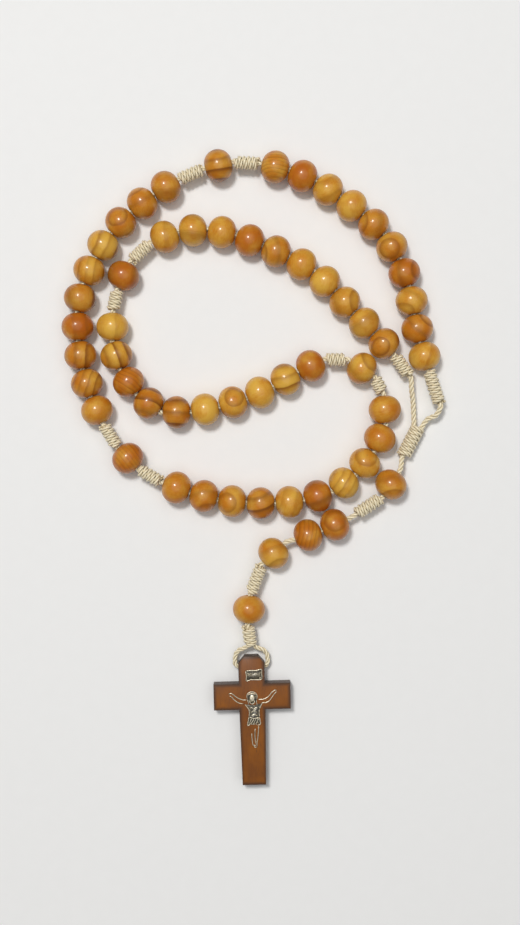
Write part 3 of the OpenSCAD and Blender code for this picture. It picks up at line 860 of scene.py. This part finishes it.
# One side of the loop: out of the foot knot, round the shoulder of the post and in at the hole
half_loop = [
    (0.0004, LOOP_RISE + 0.0007, hang_tip[2]), (0.0015, LOOP_RISE - 0.00035, hang_tip[2] - 0.0001),
    (0.0029, LOOP_RISE - 0.00085, hang_tip[2] - 0.0002),
    (LEG_X - 0.0003, LOOP_RISE - 0.0019, HOLE_Z + 0.0002), (LEG_X, 0.0017, HOLE_Z),
    (LEG_X - 0.0001, 0.0006, HOLE_Z), (POST_W / 2 - 0.0001, 0, HOLE_Z), (0.0002, 0, HOLE_Z),
]
for side, name in ((-1, "left"), (1, "right")):
    points = [cross_frame @ Vector((side * x, y, z)) for x, y, z in half_loop]
    cord_piece(f"{name}_loop_string", points, "cross_loop_cord", "drop", cord_r=0.9 * CORD_R)

HEAD_TOP = CROSS_HOLE_DROP
ARM_TOP = HEAD_TOP - HEAD_H
ARM_LOW = ARM_TOP - ARM_H
FOOT_Y = HEAD_TOP - CROSS_H


def apply_modifiers(piece):
    bpy.context.view_layer.update()
    final = bpy.data.meshes.new_from_object(piece.evaluated_get(bpy.context.evaluated_depsgraph_get()))
    piece.modifiers.clear()
    piece.data = final


def drill_for_hole():
    """A rod across the head of the cross, the size of its hole."""
    mesh = bpy.data.meshes.new("drill")
    shape = bmesh.new()
    bmesh.ops.create_cone(shape, cap_ends=True, segments=32, radius1=CROSS_HOLE_D / 2,
                          radius2=CROSS_HOLE_D / 2, depth=2 * POST_W,
                          matrix=Matrix.Rotation(math.pi / 2, 4, "Y"))
    shape.to_mesh(mesh)
    shape.free()
    drill = bpy.data.objects.new("drill", mesh)
    drill.matrix_world = cross_frame @ Matrix.Translation((0, 0, HOLE_Z))
    bpy.context.collection.objects.link(drill)
    return drill


def wooden_cross():
    """The cross with its hole drilled and its edges softened."""
    half = [
        (FOOT_W / 2, FOOT_Y), (POST_W / 2, ARM_LOW), (CROSS_W / 2, ARM_LOW), (CROSS_W / 2, ARM_TOP),
        (POST_W / 2, ARM_TOP), (POST_W / 2, HEAD_TOP - BEVEL_Y), (POST_W / 2 - BEVEL_X, HEAD_TOP),
    ]
    outline = half + [(-x, y) for x, y in reversed(half)]
    vertices, faces = slab(outline, 0, CROSS_T)
    cross = add_piece("wooden_cross", vertices, faces, CROSS_WOOD, matrix=cross_frame,
                      smooth_faces=False)
    drill = drill_for_hole()
    bore = cross.modifiers.new("bore", "BOOLEAN")
    bore.operation = "DIFFERENCE"
    bore.object = drill
    soften = cross.modifiers.new("soften", "BEVEL")
    soften.width = 0.0003
    soften.segments = 3
    soften.limit_method = "ANGLE"
    soften.angle_limit = math.radians(35)
    apply_modifiers(cross)
    bpy.data.objects.remove(drill)
    cross.data.shade_smooth()
    cross.data.set_sharp_from_angle(angle=math.radians(50))
    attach(cross, "cross")
    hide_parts("cross")


wooden_cross()

# Stamped foil: raised lines on thin plates, drawn in millimetres in the cross's frame ------------
RIDGE_W, HATCH_W = 0.0003, 0.00018
RIDGE_SIDES = 5
RIDGE_STEP = 0.00015
PLATE_T, HEAD_PLATE_T = 0.0001, 0.00005


def ridge(points, width=RIDGE_W):
    """A raised line with round section and tapered ends, through points in millimetres."""
    path = even_steps(smooth([(x * MM, y * MM, CROSS_T) for x, y in points], 6), RIDGE_STEP)
    headings = headings_along(path)
    count = len(path)
    vertices = []
    for i, (spot, along) in enumerate(zip(path, headings)):
        taper = min(1, 0.45 + 0.25 * min(i, count - 1 - i))
        aside = np.array((-along[1], along[0], 0))
        for k in range(RIDGE_SIDES):
            angle = math.pi * k / (RIDGE_SIDES - 1)
            vertices.append(spot + aside * width / 2 * taper * math.cos(angle)
                            + np.array((0, 0, FOIL_T * taper * math.sin(angle))))
    return vertices, ring_faces(count, RIDGE_SIDES)


def plate(points, height):
    """A thin flat plate inside an outline in millimetres."""
    rim = smooth([(x * MM, y * MM, 0) for x, y in points + points[:1]], 4)[:-1]
    return slab([(x, y) for x, y, _ in rim], CROSS_T, CROSS_T + height)


def foil_piece(name, parts, material, node):
    vertices, faces = [], []
    for more, more_faces in parts:
        shift = len(vertices)
        vertices += [tuple(v) for v in more]
        faces += [tuple(i + shift for i in face) for face in more_faces]
    piece = add_piece(name, vertices, faces, material, matrix=cross_frame)
    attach(piece, "cross")
    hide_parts(node)
    return piece


FIGURE_LINES = [
    # left arm: upper and lower line
    [(-6.0, -6.7), (-5.4, -6.4), (-5.0, -6.55), (-3.8, -7.5), (-2.5, -8.1), (-1.3, -8.15)],
    [(-5.8, -7.0), (-5.1, -7.4), (-4.5, -8.1), (-3.4, -8.85), (-2.2, -9.15)],
    # right arm
    [(1.4, -8.1), (2.9, -8.05), (4.1, -7.4), (5.0, -6.4), (5.7, -5.9), (6.3, -5.95)],
    [(6.3, -6.2), (5.7, -6.7), (5.1, -7.5), (4.2, -8.6), (3.4, -8.95), (2.6, -8.95), (2.1, -9.8),
     (1.75, -10.6)],
    # sides of the body
    [(-1.9, -9.2), (-1.3, -10.0), (-0.85, -10.8), (-0.8, -11.8), (-0.95, -12.5)],
    [(1.75, -10.6), (1.65, -11.4), (1.7, -12.2), (1.75, -12.6)],
    # chest and ribs
    [(-0.7, -10.4), (-0.2, -10.1), (0.35, -10.5), (0.9, -10.1), (1.4, -10.4)],
    [(0.35, -10.5), (0.35, -11.3)],
    [(-0.4, -11.6), (0.0, -11.1), (0.35, -11.0), (0.8, -11.1), (1.2, -11.6)],
    [(-0.5, -12.3), (0.35, -11.9), (1.3, -12.3)],
    # cloth
    [(-0.95, -12.5), (0.35, -12.9), (1.75, -12.6)],
    [(-0.95, -12.5), (-1.15, -13.6), (-1.35, -14.6), (-0.9, -14.5), (-0.55, -14.1)],
    [(-0.3, -12.9), (-0.65, -13.7), (-0.9, -14.4)],
    [(0.3, -12.95), (-0.1, -13.7), (-0.45, -14.2), (0.1, -14.4)],
    [(0.9, -12.9), (0.5, -13.6), (0.1, -14.4), (0.6, -14.2)],
    [(1.4, -12.8), (1.15, -13.6), (0.75, -14.3), (1.2, -14.4)],
    [(1.75, -12.6), (1.85, -13.6), (1.95, -14.2), (1.5, -14.6), (1.2, -14.4)],
    # legs
    [(-0.35, -16.6), (-0.3, -17.8), (-0.15, -19.3), (0.15, -19.9)],
    [(0.55, -15.4), (0.45, -16.8), (0.5, -18.2), (0.6, -19.3)],
    [(1.45, -14.8), (1.35, -16.2), (1.15, -17.8), (0.9, -19.2), (0.95, -20.0)],
    # feet
    [(0.0, -19.5), (0.35, -19.75), (0.7, -19.45)],
    [(0.15, -19.9), (0.5, -20.15), (0.95, -20.0)],
]
HEAD_LINES = [
    # hair and beard around the head
    [(-1.2, -8.0), (-1.35, -7.3), (-1.1, -6.6), (-0.4, -6.2), (0.45, -6.25), (1.05, -6.7), (1.25, -7.4),
     (1.1, -8.2)],
    [(-1.2, -7.1), (-0.5, -6.7), (0.3, -6.6), (1.05, -6.95)],
    [(-1.2, -8.0), (-1.0, -8.8), (-0.9, -9.4)],
    [(1.1, -8.2), (1.05, -8.9), (1.3, -9.5)],
    [(-0.6, -8.3), (-0.5, -8.9), (0.0, -9.25), (0.45, -8.9), (0.6, -8.3)],
]
TORSO_OUTLINE = [(-1.6, -9.3), (-0.9, -10.4), (-0.85, -12.4), (-1.3, -14.4), (0.4, -14.1), (1.85, -14.2),
                 (1.7, -12.4), (1.75, -10.6), (2.3, -9.2), (0.3, -9.5)]
HEAD_OUTLINE = [(-1.2, -7.2), (0, -6.3), (1.15, -7.2), (0.9, -8.6), (0, -9.3), (-0.9, -8.6)]
FACE_AT, FACE_HALF = (-0.02, -7.75), (0.62, 0.86)
FACE_STEPS = 44


def face_height(u, v):
    """Relief of a calm, plain face: u runs -1 to 1 across it and v from the chin, -1, up to the hairline."""
    def bump(at_u, at_v, wide, high):
        return math.exp(-((u - at_u) / wide) ** 2 - ((v - at_v) / high) ** 2)

    side = abs(u)
    height = 0.62 * math.sqrt(max(0, 1 - u * u - v * v))
    height += 0.26 * bump(0, -0.08, 0.11, 0.24) + 0.12 * bump(0, -0.24, 0.16, 0.08)
    height += 0.08 * math.exp(-((side - 0.36) / 0.24) ** 2 - ((v - 0.25) / 0.05) ** 2)
    height -= 0.16 * math.exp(-((side - 0.36) / 0.19) ** 2 - ((v - 0.1) / 0.1) ** 2)
    height += 0.09 * math.exp(-((side - 0.36) / 0.13) ** 2 - ((v - 0.09) / 0.05) ** 2)
    height += 0.09 * bump(0, -0.42, 0.2, 0.035) + 0.09 * bump(0, -0.54, 0.17, 0.04)
    height -= 0.07 * bump(0, -0.48, 0.2, 0.022)
    return height + 0.1 * bump(0, -0.78, 0.18, 0.1)


def face_relief():
    """The face as a raised oval sheet on the cross."""
    vertices, faces = [], []
    for i in range(FACE_STEPS + 1):
        for k in range(FACE_STEPS + 1):
            u, v = 2 * k / FACE_STEPS - 1, 2 * i / FACE_STEPS - 1
            round_u, round_v = u * math.sqrt(1 - v * v / 2), v * math.sqrt(1 - u * u / 2)
            x, y = FACE_AT[0] + FACE_HALF[0] * round_u, FACE_AT[1] + FACE_HALF[1] * round_v
            vertices.append((x * MM, y * MM, CROSS_T + FOIL_T * (0.1 + face_height(round_u, round_v))))
    row = FACE_STEPS + 1
    for i in range(FACE_STEPS):
        for k in range(FACE_STEPS):
            a = i * row + k
            faces.append((a, a + 1, a + 1 + row, a + row))
    return vertices, faces


foil_piece("figure_lines", [ridge(line) for line in FIGURE_LINES + HEAD_LINES] + [face_relief()],
           BRIGHT_FOIL, "corpus_foil")
foil_piece("figure_plates", [plate(TORSO_OUTLINE, PLATE_T), plate(HEAD_OUTLINE, HEAD_PLATE_T)], GREY_FOIL,
           "corpus_foil")

SCROLL_OUTLINE = [(-1.5, -0.9), (-0.2, -0.75), (1.2, -0.8), (2.5, -0.55), (2.55, -1.6), (2.5, -3.0),
                  (1.2, -3.15), (-0.2, -3.1), (-1.35, -3.35), (-1.3, -2.2)]
SCROLL_CURL = [(2.5, -2.5), (2.1, -2.6), (2.05, -3.0), (2.4, -3.1)]
HATCH_COUNT, HATCH_START, HATCH_GAP = 9, -1.0, 0.36
scroll_lines = [SCROLL_OUTLINE + SCROLL_OUTLINE[:1], SCROLL_CURL]
hatch_starts = [HATCH_START + HATCH_GAP * k for k in range(HATCH_COUNT)]
hatch = [[(x, -1.35), (x + 0.2, -1.9), (x + 0.05, -2.6)] for x in hatch_starts]
foil_piece("plaque_lines", [ridge(line) for line in scroll_lines] + [ridge(line, HATCH_W) for line in hatch],
           BRIGHT_FOIL, "titulus_foil")
foil_piece("plaque_plate", [plate(SCROLL_OUTLINE, PLATE_T)], GREY_FOIL, "titulus_foil")

# ---------------------------------------------------------------------------
# Floor and light
# ---------------------------------------------------------------------------
FLOOR_HALF = 0.8
paper = Recipe("pale_floor")
speck = paper.noise(paper.node("ShaderNodeTexCoord", output="Object"), 300, 2)
paper.surface(Base_Color=paper.mix(speck, (0.84, 0.84, 0.835), (0.86, 0.86, 0.855)), Roughness=0.8)
floor_mesh = bpy.data.meshes.new("floor")
corners = [(x * FLOOR_HALF, y * FLOOR_HALF, 0) for x, y in ((-1, -1), (1, -1), (1, 1), (-1, 1))]
floor_mesh.from_pydata(corners, [], [(0, 1, 2, 3)])
floor_mesh.materials.append(paper.material)
floor = bpy.data.objects.new("floor", floor_mesh)
bpy.context.collection.objects.link(floor)


def soft_light(name, place, target, size, power, tint=(1, 1, 1)):
    lamp = bpy.data.lights.new(name, "AREA")
    lamp.shape = "DISK"
    lamp.size = size
    lamp.energy = power
    lamp.color = tint
    light = bpy.data.objects.new(name, lamp)
    light.location = place
    light.rotation_euler = (Vector(target) - Vector(place)).to_track_quat("-Z", "Y").to_euler()
    bpy.context.collection.objects.link(light)


soft_light("key_light", (-0.2, 0.33, 1.0), (0, 0, 0), 0.2, 6.4, (1, 0.99, 0.97))
soft_light("ceiling_light", (0.05, 0.05, 1.1), (0, 0, 0), 1.6, 5.8)

world = bpy.data.worlds.new("room")
world.use_nodes = True
world.node_tree.nodes["Background"].inputs["Color"].default_value = (1, 1, 1, 1)
world.node_tree.nodes["Background"].inputs["Strength"].default_value = 0.12
bpy.context.scene.world = world
bpy.context.scene.view_settings.view_transform = "Standard"
